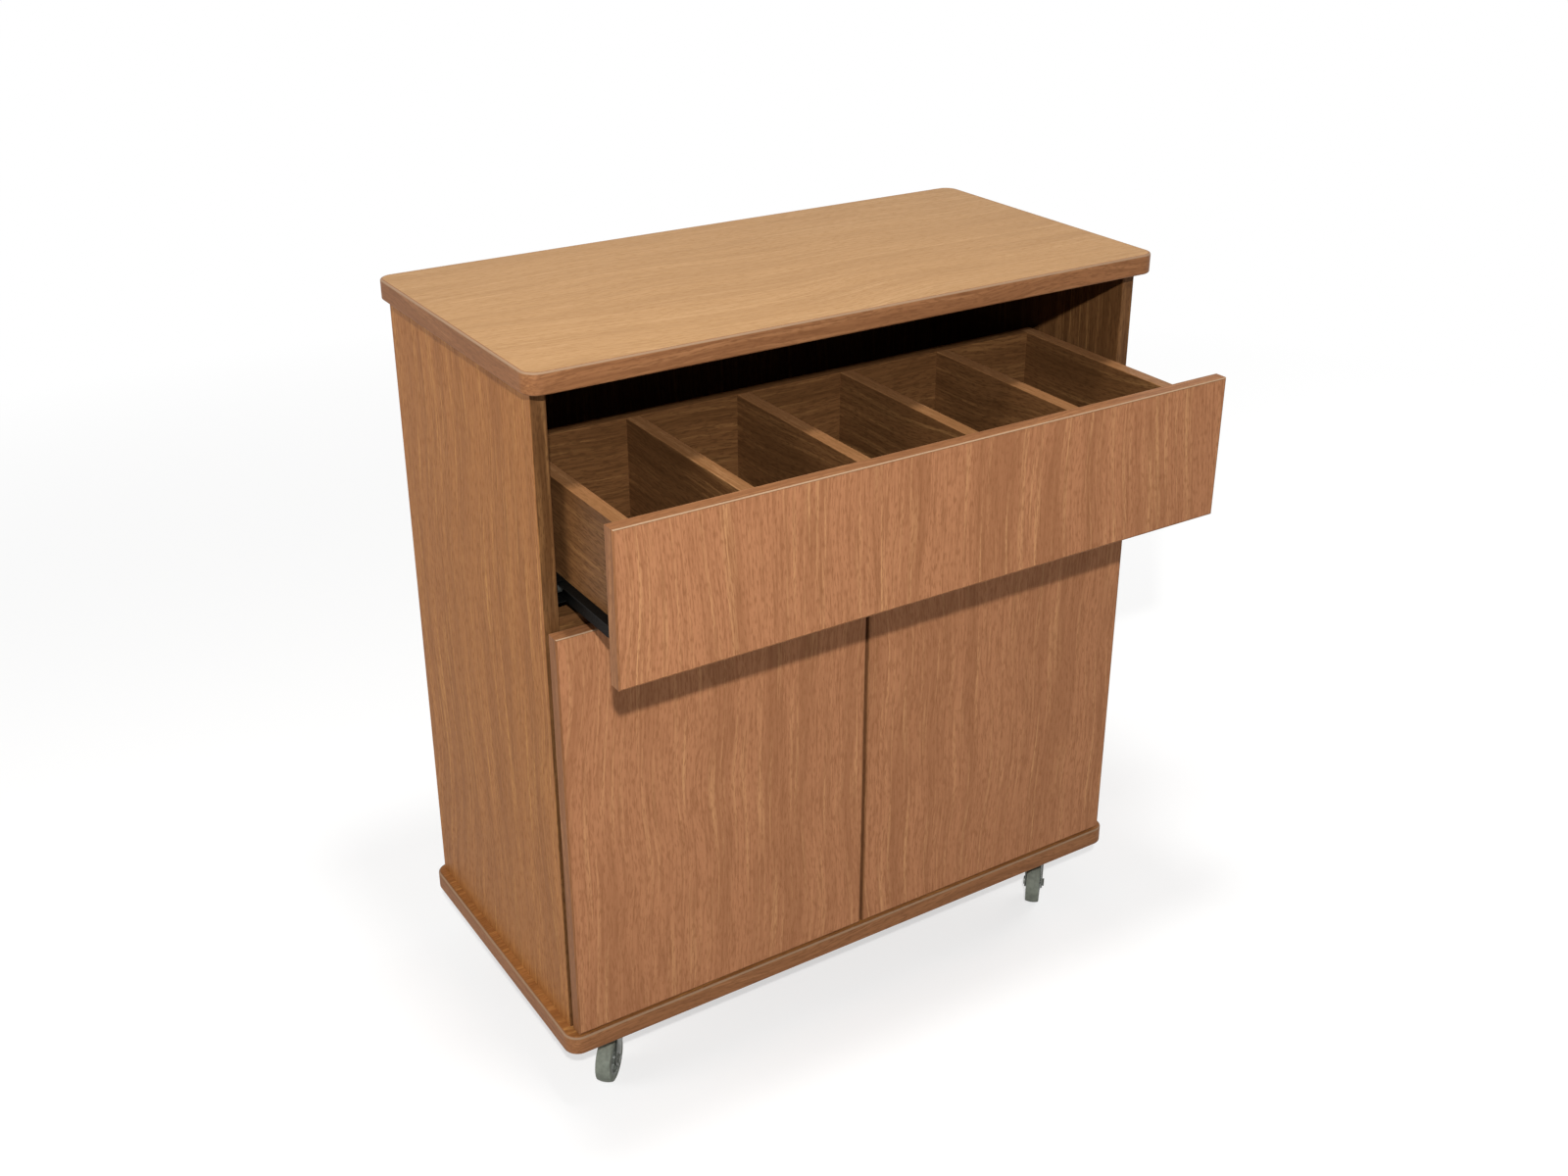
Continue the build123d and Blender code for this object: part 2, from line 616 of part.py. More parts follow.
def wheel_turn(profile):
    """A turned piece on the axle: the profile's x is the radius and its y runs along the axle."""
    return Pos(0, -CASTER_TRAIL, AXLE_LEVEL) * Rot(0, 0, -90) * revolve(profile, Axis.Y)


def caster_hub():
    half, tyre_half = HUB_LENGTH / 2, TYRE_WIDTH / 2
    web_half = tyre_half - HUB_RECESS
    rim = HUB_RADIUS - HUB_RIM
    bore = AXLE_RADIUS + RUNNING_CLEARANCE
    outline = Polyline(
        (bore, -half), (HUB_BOSS_RADIUS, -half), (HUB_BOSS_RADIUS, -web_half), (rim, -web_half),
        (rim, -tyre_half), (HUB_RADIUS, -tyre_half), (HUB_RADIUS, tyre_half), (rim, tyre_half),
        (rim, web_half), (HUB_BOSS_RADIUS, web_half), (HUB_BOSS_RADIUS, half), (bore, half),
        close=True,
    )
    return wheel_turn(make_face(outline))


def caster_tyre():
    """A crowned tread on the hub."""
    half = TYRE_WIDTH / 2
    wall = Polyline((TYRE_SHOULDER, half), (HUB_RADIUS, half), (HUB_RADIUS, -half), (TYRE_SHOULDER, -half))
    tread = ThreePointArc((TYRE_SHOULDER, -half), (WHEEL_RADIUS, 0), (TYRE_SHOULDER, half))
    return wheel_turn(make_face(wall.edges() + tread.edges()))


# The cabinet: everything that stays with the carcass

def back_screw_places():
    right = SIDE_OUTER - BACK_SCREW_EDGE
    low, high = BASE_TOP + BACK_SCREW_EDGE + DOWEL_END, TOP_BOTTOM - BACK_SCREW_EDGE - DOWEL_END
    y = CARCASS_BACK + BACK_THICKNESS
    places = [(side * right, y, z) for side in SIDES.values() for z in spread(low, high, BACK_SCREW_UP_COUNT)]
    inner = spread(-SIDE_INNER + DOWEL_END, SIDE_INNER - DOWEL_END, BACK_SCREW_ACROSS_COUNT)
    places += [(x, y, DECK_MIDDLE) for x in inner]
    return [(place, BACKWARD) for place in places]


def cabinet_pieces():
    pieces = {}
    joints = carcass_dowels()
    dowel_holes = [dowel_hole(*joint) for joint in joints]
    back_screws = back_screw_places()
    back_holes = [screw_hole(*place) for place in back_screws]

    base, pieces["base_edge_band"] = slab(BASE_HALF, BASE_FRONT, BASE_BACK, BASE_BOTTOM)
    top, pieces["top_edge_band"] = slab(TOP_WIDTH / 2, -TOP_DEPTH / 2, TOP_DEPTH / 2, TOP_BOTTOM)
    plate_screws = [
        ((x + px, y + py, PLATE_LOW), DOWN)
        for x, y in caster_places().values()
        for px, py in plate_corners()
    ]
    pieces["top_panel"] = top - dowel_holes
    pieces["base_panel"] = base - dowel_holes - [screw_hole(*place) for place in plate_screws]
    deck = between(-SIDE_INNER, SIDE_INNER, CARCASS_FRONT, CARCASS_BACK, DECK_BOTTOM, DECK_TOP)
    pieces["deck_panel"] = eased(deck, Axis.X, Axis.Y, 0) - dowel_holes - back_holes
    back_half = SIDE_OUTER - BACK_MARGIN
    back = between(
        -back_half, back_half, CARCASS_BACK, CARCASS_BACK + BACK_THICKNESS, BASE_TOP, TOP_BOTTOM
    )
    pieces["back_panel"] = back - back_holes

    shelf_half = SIDE_INNER - SHELF_SIDE_GAP
    shelf = between(
        -shelf_half, shelf_half, CARCASS_FRONT + SHELF_SETBACK, CARCASS_BACK - SHELF_BACK_GAP,
        SHELF_BOTTOM, SHELF_BOTTOM + BOARD,
    )
    pieces["shelf"] = eased(shelf, Axis.X, Axis.Y, 0)
    pins = shelf_pin_places()
    pieces["shelf_pins"] = [shelf_pin(*pin) for pin in pins]

    screws = list(back_screws)
    arms = []
    for name, side in SIDES.items():
        hinge_screws = [p for level in hinge_levels() for p in hinge_screw_places(side, level)]
        own_screws = cabinet_runner_screw_places(side) + hinge_screws
        screws += own_screws
        arms += [hinge_arm(side, level) for level in hinge_levels()]
        panel = between(
            side * SIDE_INNER, side * SIDE_OUTER, CARCASS_FRONT, CARCASS_BACK, BASE_TOP, TOP_BOTTOM
        )
        holes = dowel_holes + back_holes + [screw_hole(*place) for place in own_screws]
        holes += [shelf_pin_hole(*pin) for pin in pins]
        pieces[f"{name}_side_panel"] = eased(panel, Axis.Z, Axis.Y, 0) - holes
        pieces[f"{name}_cabinet_runner"] = cabinet_runner(side)

    pieces["hinge_arms"] = arms
    pieces["carcass_dowels"] = [dowel(*joint) for joint in joints]
    pieces["cabinet_screws"] = [screw(*place) for place in screws]
    pieces["caster_screws"] = [screw(*place) for place in plate_screws]
    plate = caster_plate()
    pieces["caster_plates"] = [Pos(x, y, 0) * plate for x, y in caster_places().values()]
    return pieces


# The drawer, in its shut place

def divider_places():
    first = -DIVIDER_PITCH * (DIVIDER_COUNT - 1) / 2
    return [first + DIVIDER_PITCH * i for i in range(DIVIDER_COUNT)]


def drawer_dowels():
    """Places and directions of the dowels that join the drawer's boards."""
    joints = []
    for level in (BOX_BOTTOM + DRAWER_DOWEL_LOW, BOX_BOTTOM + DRAWER_DOWEL_HIGH):
        for side in SIDES.values():
            joints.append(((side * (BOX_INNER + BOARD / 2), FRONT_INNER, level), BACKWARD))
            joints.append(((side * BOX_INNER, BOX_BACK - BOARD / 2, level), (-side, 0, 0)))
        for x in divider_places():
            joints.append(((x, FRONT_INNER, level), BACKWARD))
            joints.append(((x, BOX_BACK_INNER, level), FORWARD))
    return joints


def drawer_pieces():
    pieces = {}
    joints = drawer_dowels()
    dowel_holes = [dowel_hole(*joint) for joint in joints]
    runner_screws = [p for side in SIDES.values() for p in drawer_runner_screw_places(side)]
    runner_holes = [screw_hole(*place) for place in runner_screws]
    reach = BOTTOM_GROOVE
    groove = between(
        -BOX_INNER - reach, BOX_INNER + reach, FRONT_INNER - reach, BOX_BACK_INNER + reach,
        BOTTOM_LOW, BOTTOM_HIGH,
    )
    reach -= BOTTOM_CLEARANCE
    pieces["drawer_bottom"] = between(
        -BOX_INNER - reach, BOX_INNER + reach, FRONT_INNER - reach, BOX_BACK_INNER + reach,
        BOTTOM_LOW, BOTTOM_HIGH,
    )
    front, pieces["drawer_front_edge_band"] = banded_front(
        -FRONT_HALF, FRONT_HALF, DRAWER_FRONT_BOTTOM, DRAWER_FRONT_TOP
    )
    pieces["drawer_front"] = front - groove - dowel_holes
    back = between(-BOX_INNER, BOX_INNER, BOX_BACK_INNER, BOX_BACK, BOX_BOTTOM, BOX_TOP)
    pieces["drawer_back"] = eased(back, Axis.X, Axis.Z, -1) - groove - dowel_holes
    for name, side in SIDES.items():
        board = between(side * BOX_INNER, side * BOX_OUTER, FRONT_INNER, BOX_BACK, BOX_BOTTOM, BOX_TOP)
        pieces[f"drawer_{name}_side"] = eased(board, Axis.Y, Axis.Z, -1) - groove - dowel_holes - runner_holes
        pieces[f"{name}_drawer_runner"] = drawer_runner(side)
    for number, x in enumerate(divider_places(), start=1):
        board = between(x - BOARD / 2, x + BOARD / 2, FRONT_INNER, BOX_BACK_INNER, BOTTOM_HIGH, BOX_TOP)
        pieces[f"drawer_divider_{number}"] = eased(board, Axis.Y, Axis.Z, -1) - dowel_holes
    pieces["drawer_dowels"] = [dowel(*joint) for joint in joints]
    pieces["drawer_screws"] = [screw(*place) for place in runner_screws]
    return pieces


# Doors, shut

def door_pieces(name, side):
    edges = sorted((side * FRONT_HALF, side * DOOR_SPLIT / 2))
    core, band = banded_front(*edges, DOOR_BOTTOM, DOOR_TOP)
    levels = hinge_levels()
    return {
        f"{name}_door": core - [hinge_cup_bore(side, level) for level in levels],
        f"{name}_door_edge_band": band,
        f"{name}_hinge_cups": [hinge_cup(side, level) for level in levels],
        f"{name}_hinge_pins": [hinge_pin(side, level) for level in levels],
    }


def caster_pieces():
    pieces = {}
    turned = {"fork": caster_fork(), "axle": caster_axle(), "wheel": caster_hub(), "tyre": caster_tyre()}
    for corner, (x, y) in caster_places().items():
        stand = Pos(x, y, 0) * Rot(0, 0, CASTER_HEADING)
        for piece, shape in turned.items():
            pieces[f"{corner}_{piece}"] = stand * shape
    return pieces


def write(pieces, drawn_out=0.0):
    """Writes each piece to its own file; drawn_out is how far it stands forward of its shut place."""
    place = Pos(0, TO_ORIGIN - drawn_out, 0)
    for name, shape in pieces.items():
        shapes = shape if isinstance(shape, list) else [shape]
        solids = [place * solid for one in shapes for solid in one.solids()]
        export_step(solids[0] if len(solids) == 1 else Compound(solids), f"parts/{name}.step")


def main():
    os.makedirs("parts", exist_ok=True)
    write(cabinet_pieces())
    write(drawer_pieces(), DRAWER_OPEN)
    for name, side in SIDES.items():
        write(door_pieces(name, side))
        write({f"{name}_front_roller": cabinet_roller(side)})
        write({f"{name}_rear_roller": drawer_roller(side)}, DRAWER_OPEN)
    write(caster_pieces())


main()
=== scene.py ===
"""Finishes, caster details and studio stage for a mobile waiter station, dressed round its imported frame."""

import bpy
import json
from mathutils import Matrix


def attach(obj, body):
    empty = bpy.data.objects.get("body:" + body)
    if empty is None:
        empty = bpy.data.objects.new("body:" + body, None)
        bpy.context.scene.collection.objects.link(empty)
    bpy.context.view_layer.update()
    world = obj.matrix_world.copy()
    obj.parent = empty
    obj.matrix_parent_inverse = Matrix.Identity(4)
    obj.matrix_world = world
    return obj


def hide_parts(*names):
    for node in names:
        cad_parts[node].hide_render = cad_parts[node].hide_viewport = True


bl_info = {
    "name": "Waiter Station Finishes",
    "version": (1, 0, 0),
    "blender": (4, 5, 0),
    "location": "View3D > Sidebar > Station",
    "description": "Dresses the boards, edging, runners, hinges and casters of a mobile waiter station",
    "category": "Object",
}

import json
import math

import bpy
from mathutils import Vector

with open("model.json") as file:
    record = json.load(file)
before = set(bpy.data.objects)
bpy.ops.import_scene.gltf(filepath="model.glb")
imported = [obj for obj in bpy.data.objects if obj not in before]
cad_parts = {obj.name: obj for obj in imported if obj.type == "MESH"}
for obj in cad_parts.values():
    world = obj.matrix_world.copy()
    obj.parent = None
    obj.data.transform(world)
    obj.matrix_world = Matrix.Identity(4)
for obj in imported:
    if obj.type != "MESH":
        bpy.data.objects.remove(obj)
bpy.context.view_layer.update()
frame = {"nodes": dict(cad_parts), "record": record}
NODES = frame["nodes"]
JOINTS = {joint["name"]: joint for joint in frame["record"]["behaviour"]["joints"]}
CORNERS = ("front_left", "front_right", "rear_left", "rear_right")
SIDES = ("left", "right")
MM = 0.001

# Sockets of the Mix node that carry colour, since it has one set for each kind of value
MIX_FACTOR = 0
MIX_FIRST, MIX_SECOND = 6, 7
MIX_RESULT = 2


def linear(code):
    """An sRGB hex colour as linear red, green and blue."""
    parts = [int(code[i:i + 2], 16) / 255 for i in (1, 3, 5)]
    return tuple(p / 12.92 if p <= 0.04045 else ((p + 0.055) / 1.055) ** 2.4 for p in parts)


def opaque(colour):
    return (*colour, 1.0)


# Settings that a user would change

def colour(code, name, description):
    return bpy.props.FloatVectorProperty(
        name=name, description=description, subtype="COLOR", size=3, min=0, max=1, default=linear(code)
    )


def length(millimetres, name, description):
    return bpy.props.FloatProperty(
        name=name, description=description, subtype="DISTANCE", unit="LENGTH", min=0,
        default=millimetres * MM,
    )


class StationColours(bpy.types.PropertyGroup):
    """Print tones of the boards and colours of the hardware"""

    front_dark: colour("#8A5A3A", "Front dark", "Dark bands and lines of the doors and the drawer front")
    front_middle: colour("#AC7652", "Front middle", "Main tone of the doors and the drawer front")
    front_light: colour("#BE8B60", "Front light", "Pale streaks of the doors and the drawer front")
    # Side tones: painted shade, a darker and more saturated copy of the laminate for the weaker, sheen-free
    # light that falls on the sides
    side_dark: colour("#7B4C27", "Side dark", "Dark bands and lines of the side panels")
    side_middle: colour("#9F6939", "Side middle", "Main tone of the side panels")
    side_light: colour("#B9844A", "Side light", "Pale streaks of the side panels")
    # Top tones: painted light and sheen, a less red and yellower copy of the laminate for the light and sheen
    # that the top catches from above
    top_dark: colour("#946E45", "Top dark", "Dark bands and lines of the top")
    top_middle: colour("#A78055", "Top middle", "Main tone of the top")
    top_light: colour("#B48E63", "Top light", "Pale streaks of the top")
    # Inner tones: painted shade, darker copies of the laminate for the shaded inside of the cabinet and the
    # drawer and for board faces that lie in shadow
    inner_dark: colour("#4A2F18", "Inner dark", "Dark bands and lines inside the cabinet and the drawer")
    inner_middle: colour("#6B482A", "Inner middle", "Main tone inside the cabinet and the drawer")
    inner_light: colour("#8A633C", "Inner light", "Pale streaks inside the cabinet and the drawer")
    edge_dark: colour("#75502F", "Edge dark", "Dark bands and lines of the boards' bare edges")
    edge_middle: colour("#8A603D", "Edge middle", "Main tone of the boards' bare edges")
    edge_light: colour("#A0764F", "Edge light", "Pale streaks of the boards' bare edges")
    band_dark: colour("#71492D", "Band dark", "Dark lines of the edge bands")
    band_middle: colour("#8F613F", "Band middle", "Main tone of the edge bands")
    band_light: colour("#A2734D", "Band light", "Pale streaks of the edge bands")
    # Arris colours are painted highlights: paler tones on the rounded upper corners of the edge bands, for
    # the light from above that catches them
    slab_arris_highlight: colour("#8F735A", "Slab arris", "Highlighted upper corners of the slabs' edge bands")
    front_arris_highlight: colour("#9F8369", "Front arris", "Highlighted upper corners of the fronts' edge bands")
    runner: colour("#0B0B0A", "Runner", "Black coating of the drawer runners")
    roller: colour("#3B3C39", "Roller", "Black nylon of the runner rollers")
    nickel: colour("#C4BFB2", "Nickel", "Plating of the hinges")
    zinc: colour("#A9ABA6", "Zinc", "Plating of the screws and pins")
    # Pressing colour: painted shade, darker than the zinc of the screws, for the base's shadow over the
    # casters and the dark surroundings that the forks mirror
    pressing: colour("#7C7E78", "Pressing", "Shaded plating of the caster plates and forks")
    beech: colour("#C9A77C", "Beech", "Dowels")
    hub: colour("#5F635C", "Hub", "Grey plastic of the caster hubs")
    tyre: colour("#70756A", "Tyre", "Grey rubber of the caster tyres")


class StationGrain(bpy.types.PropertyGroup):
    """Real sizes of the printed grain"""

    band_width: length(26, "Band width", "Width of the broad light and dark bands of the print")
    streak_width: length(6, "Streak width", "Width of the pale streaks")
    line_width: length(3, "Line width", "Width of the fine dark lines")
    pore_width: length(1.8, "Pore width", "Width of the pores, drawn wider than real so that they show")
    sway: length(70, "Sway", "How far the grain can wander from a straight line")


class StationCaster(bpy.types.PropertyGroup):
    """Sizes of the caster pieces"""

    wheel_radius: length(30, "Wheel radius", "Radius over the crown of the tyre")
    tyre_width: length(18.5, "Tyre width", "Width of the tyre")
    tyre_crown: length(29.27, "Tyre crown", "Radius of the tread's rounded section")
    hub_radius: length(21, "Hub radius", "Radius on which the tyre sits")
    hub_rim: length(3.5, "Hub rim", "Wall of the hub's rim")
    hub_recess: length(2.8, "Hub recess", "Depth of the web below the rim")
    boss_radius: length(8, "Boss radius", "Radius of the boss round the axle")
    boss_length: length(19.2, "Boss length", "Length of the boss")
    axle_bore: length(3.05, "Axle bore", "Radius of the hole for the axle")
    rib_thickness: length(1.6, "Rib thickness", "Thickness of the hub's radial ribs")
    rib_height: length(2, "Rib height", "How far the ribs stand up from the web")
    axle_level: length(30, "Axle level", "Height of the axle")
    trail: length(22, "Trail", "Distance of the axle behind the swivel")
    fork_gap: length(20.8, "Fork gap", "Clear width between the fork's legs")
    fork_steel: length(2, "Fork steel", "Thickness of the fork's legs")
    leg_end: length(9, "Leg end", "Radius of the leg round the axle")
    leg_shoulder: length(15, "Leg shoulder", "Half length of the leg where it meets the crown")
    crown_radius: length(20, "Crown radius", "Radius of the fork's crown")
    crown_low: length(74.6, "Crown low", "Height of the crown's underside")
    crown_steel: length(2.5, "Crown steel", "Thickness of the crown")
    skirt: length(3, "Skirt", "Wall of the skirt round the raceway")
    skirt_height: length(2.8, "Skirt height", "How far the skirt stands above the crown")


class StationStage(bpy.types.PropertyGroup):
    """Camera and light"""

    lens: bpy.props.FloatProperty(name="Lens", description="Focal length in mm", min=1, default=39.73)
    camera_place: bpy.props.FloatVectorProperty(
        name="Camera place", description="Where the camera stands", subtype="TRANSLATION", unit="LENGTH",
        default=(-1.0859, -1.6489, 1.5188),
    )
    camera_heading: bpy.props.FloatProperty(
        name="Camera heading", description="Turn to the right from straight ahead", subtype="ANGLE",
        default=math.radians(32.55),
    )
    camera_tilt: bpy.props.FloatProperty(
        name="Camera tilt", description="Tilt below the horizon", subtype="ANGLE",
        default=math.radians(24.7),
    )
    camera_shift: bpy.props.FloatProperty(
        name="Camera shift", description="Vertical shift of the picture, as a share of its width",
        default=-0.03,
    )
    world_level: bpy.props.FloatProperty(
        name="World level", description="Strength of the room's light from all round", min=0, default=0.12
    )
    floor: colour("#FCFCFB", "Floor", "Pale studio floor")
    bounce: colour("#B4B2AE", "Bounce", "Tone of the floor in the light that it throws back")


# Nodes and materials

def feed(node, feeds):
    """Sets a node's inputs to values, or links them to other nodes' outputs."""
    for name, source in feeds.items():
        if isinstance(source, bpy.types.NodeSocket):
            node.id_data.links.new(source, node.inputs[name])
        else:
            node.inputs[name].default_value = source


def add(tree, kind, feeds, out=0, **settings):
    """Adds a node with its settings and feeds, and gives one of its outputs."""
    node = tree.nodes.new(kind)
    for name, value in settings.items():
        setattr(node, name, value)
    feed(node, feeds)
    return node.outputs[out]


def new_material(name):
    """A material with the usual principled shader, and the place on the object that its patterns read."""
    material = bpy.data.materials.new(name)
    material.use_nodes = True
    tree = material.node_tree
    place = add(tree, "ShaderNodeTexCoord", {}, "Object")
    return material, tree, tree.nodes["Principled BSDF"], place


# Layers of the print: width setting, length in widths, detail, noise values where it starts and is full,
# its share there, and its tone
GRAIN_LAYERS = (
    ("band_width", 22.0, 2.0, 0.56, 0.36, 0.45, "dark"),
    ("streak_width", 40.0, 3.0, 0.53, 0.72, 0.75, "light"),
    ("line_width", 24.0, 2.0, 0.54, 0.34, 0.52, "dark"),
    ("pore_width", 6.0, 1.0, 0.5, 0.34, 0.6, "dark"),
)
WANDER_PER_METRE = 3.0
WANDER_DETAIL = 1.0
# How far one step of a board's seed moves it through the print, so that no two boards match
SEED_STEP = Vector((1.0, 1.7, 2.3))
BOARD_SHEEN = 0.1
SMOOTH_ROUGHNESS, PORE_ROUGHNESS, BAND_ROUGHNESS = 0.48, 0.6, 0.5
EMBOSS_STRENGTH = 0.25
EMBOSS_DEPTH = 0.1 * MM
# Cosines of a face's angle to a direction between which its tones change to another family's, such as the
# painted shade of faces that look into the cabinet
FACE_FROM, FACE_TO = 0.4, 0.6
# Cosines between which the grain of an edge band turns from one side of a board to the next
TURN_FROM, TURN_TO = 0.6, 0.75
# Rise of a band's face where the painted highlight on its rounded upper corner starts, is full, and ends
# towards the level
ARRIS_START, ARRIS_FULL, ARRIS_FADE, ARRIS_END = 0.1, 0.3, 0.93, 0.99
# Noise values at the edge and in the middle of the patches of a mottled surface
PATCH_EDGE, PATCH_MIDDLE = 0.62, 0.38
PATCH_DETAIL = 4.0
PATCH_BUMP = 0.4


def printed_grain(tree, place, axes, tones, strength=1.0):
    """Wood print of bands, pale streaks, dark lines and pores. Gives its colour and pores.

    The grain runs along the first of the two axes and wanders along the second.
    """
    along, across = axes
    grain = bpy.context.scene.station_grain
    wander = add(
        tree, "ShaderNodeTexNoise",
        {"Vector": place, "Scale": WANDER_PER_METRE, "Detail": WANDER_DETAIL}, "Color",
    )
    sway = tuple(grain.sway if letter == across else 0.0 for letter in "XYZ")
    swayed = add(tree, "ShaderNodeVectorMath", {0: wander, 1: sway, 2: place}, operation="MULTIPLY_ADD")
    tone = opaque(tones["middle"])
    for setting, stretch, detail, start, full, share, name in GRAIN_LAYERS:
        width = getattr(grain, setting)
        repeats = tuple(1 / (width * stretch) if letter == along else 1 / width for letter in "XYZ")
        scaled = add(tree, "ShaderNodeVectorMath", {0: swayed, 1: repeats}, operation="MULTIPLY")
        noise = add(tree, "ShaderNodeTexNoise", {"Vector": scaled, "Scale": 1.0, "Detail": detail}, "Fac")
        amount = add(
            tree, "ShaderNodeMapRange",
            {"Value": noise, "From Min": start, "From Max": full, "To Max": share * strength},
        )
        tone = add(
            tree, "ShaderNodeMix", {MIX_FACTOR: amount, MIX_FIRST: tone, MIX_SECOND: opaque(tones[name])},
            MIX_RESULT, data_type="RGBA",
        )
    return tone, amount


def tones_of(family):
    """The dark, middle and light tones of one family of boards."""
    colours = bpy.context.scene.station_colours
    return {name: getattr(colours, f"{family}_{name}") for name in ("dark", "middle", "light")}


def melamine(name, axes, family, seed, strength, faces):
    """Melamine-faced board.

    A printed paper pressed under clear resin: the eye sees a quiet wood print whose lines wander a little,
    with a dull satin sheen, duller still in its embossed pores. Faces lists the families whose tones are on
    the faces that look in a direction, where they differ from the rest of the board; this lays painted shade
    on faces that look into the cabinet, and keeps lighter tones on the upward edges of shaded boards.
    """
    material, tree, shader, place = new_material(f"Melamine board, {name}")
    moved = add(tree, "ShaderNodeMapping", {"Vector": place, "Location": SEED_STEP * seed})
    tone, pores = printed_grain(tree, moved, axes, tones_of(family), strength)
    normal = add(tree, "ShaderNodeTexCoord", {}, "Normal")
    for face_family, direction in faces:
        face_tone, _ = printed_grain(tree, moved, axes, tones_of(face_family))
        facing = add(
            tree, "ShaderNodeVectorMath", {0: normal, 1: direction}, "Value", operation="DOT_PRODUCT"
        )
        share = add(
            tree, "ShaderNodeMapRange", {"Value": facing, "From Min": FACE_FROM, "From Max": FACE_TO}
        )
        tone = add(
            tree, "ShaderNodeMix", {MIX_FACTOR: share, MIX_FIRST: tone, MIX_SECOND: face_tone}, MIX_RESULT,
            data_type="RGBA",
        )
    emboss = add(
        tree, "ShaderNodeBump",
        {"Height": pores, "Strength": EMBOSS_STRENGTH, "Distance": EMBOSS_DEPTH}, invert=True,
    )
    shine = add(
        tree, "ShaderNodeMapRange", {"Value": pores, "To Min": SMOOTH_ROUGHNESS, "To Max": PORE_ROUGHNESS}
    )
    feed(shader, {"Base Color": tone, "Roughness": shine, "Normal": emboss})
    feed(shader, {"Specular IOR Level": BOARD_SHEEN})
    return material


def edging(name, arris, upright, seed):
    """ABS edge band.

    A printed plastic strip: the eye sees the grain run along the edge, and a painted highlight, a paler line
    along its rounded upper corner, the arris, for the light from above that catches it.
    """
    material, tree, shader, place = new_material(f"ABS edge band, {name}")
    moved = add(tree, "ShaderNodeMapping", {"Vector": place, "Location": SEED_STEP * seed})
    normal = add(tree, "ShaderNodeTexCoord", {}, "Normal")
    square = add(tree, "ShaderNodeVectorMath", {0: normal}, operation="ABSOLUTE")
    facing = add(tree, "ShaderNodeSeparateXYZ", {0: square}).node.outputs
    across, _ = printed_grain(tree, moved, "XY" if upright else "XZ", tones_of("band"))
    other, _ = printed_grain(tree, moved, "ZY" if upright else "YZ", tones_of("band"))
    level = facing["Z" if upright else "Y"]
    runs_across = add(
        tree, "ShaderNodeMapRange", {"Value": level, "From Min": TURN_FROM, "From Max": TURN_TO}
    )
    tone = add(
        tree, "ShaderNodeMix", {MIX_FACTOR: runs_across, MIX_FIRST: other, MIX_SECOND: across},
        MIX_RESULT, data_type="RGBA",
    )
    # Painted highlight: the arris colour is mixed onto faces that rise at an angle, the rounded upper
    # corners, where light from above would catch them
    rise = add(tree, "ShaderNodeSeparateXYZ", {0: normal}, "Z")
    upward = add(
        tree, "ShaderNodeMapRange", {"Value": rise, "From Min": ARRIS_START, "From Max": ARRIS_FULL}
    )
    sloping = add(
        tree, "ShaderNodeMapRange", {"Value": rise, "From Min": ARRIS_END, "From Max": ARRIS_FADE}
    )
    painted_highlight = add(tree, "ShaderNodeMath", {0: upward, 1: sloping}, operation="MULTIPLY")
    tone = add(
        tree, "ShaderNodeMix", {MIX_FACTOR: painted_highlight, MIX_FIRST: tone, MIX_SECOND: opaque(arris)},
        MIX_RESULT, data_type="RGBA",
    )
    feed(shader, {"Base Color": tone, "Roughness": BAND_ROUGHNESS, "Specular IOR Level": BOARD_SHEEN})
    return material


def mottled(name, plain, shade, patch, shine, relief, metallic=0.0, sheen=0.5):
    """A surface of one colour with shaded patches of a real size, which are also duller and lower.

    Shade is how dark the patches are and patch their size. Shine is the roughness of the plain and of the
    shaded parts, relief the depth of the patches, and sheen how strongly the surface reflects.
    """
    material, tree, shader, place = new_material(name)
    noise = add(
        tree, "ShaderNodeTexNoise", {"Vector": place, "Scale": 1 / patch, "Detail": PATCH_DETAIL}, "Fac"
    )
    amount = add(
        tree, "ShaderNodeMapRange", {"Value": noise, "From Min": PATCH_EDGE, "From Max": PATCH_MIDDLE}
    )
    darker = opaque(part * shade for part in plain)
    tone = add(
        tree, "ShaderNodeMix", {MIX_FACTOR: amount, MIX_FIRST: opaque(plain), MIX_SECOND: darker},
        MIX_RESULT, data_type="RGBA",
    )
    rough = add(tree, "ShaderNodeMapRange", {"Value": amount, "To Min": shine[0], "To Max": shine[1]})
    bump = add(tree, "ShaderNodeBump", {"Height": noise, "Strength": PATCH_BUMP, "Distance": relief})
    feed(shader, {"Base Color": tone, "Roughness": rough, "Normal": bump})
    feed(shader, {"Metallic": metallic, "Specular IOR Level": sheen})
    return material


def dress(material, *names):
    """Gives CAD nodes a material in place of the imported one."""
    for name in names:
        for slot in NODES[name].material_slots:
            slot.material = material


# Modelling by hand

# Steps round the turned parts
LEG_STEPS = 40
CROWN_STEPS = 64
HUB_STEPS = 72
TYRE_STEPS = 96
TYRE_SECTION_STEPS = 200
RIB_COUNT = 6
# How far a rib reaches into what it stands on
RIB_BITE = 0.5 * MM
# Cosine above which a face looks straight along an axis
STRAIGHT_ON = 0.9
# Distances below which faces and points count as in one place
NEAR = 0.1 * MM
WELDED = 0.01 * MM


def select_nothing():
    if bpy.context.mode != "OBJECT":
        bpy.ops.object.mode_set(mode="OBJECT")
    bpy.ops.object.select_all(action="DESELECT")


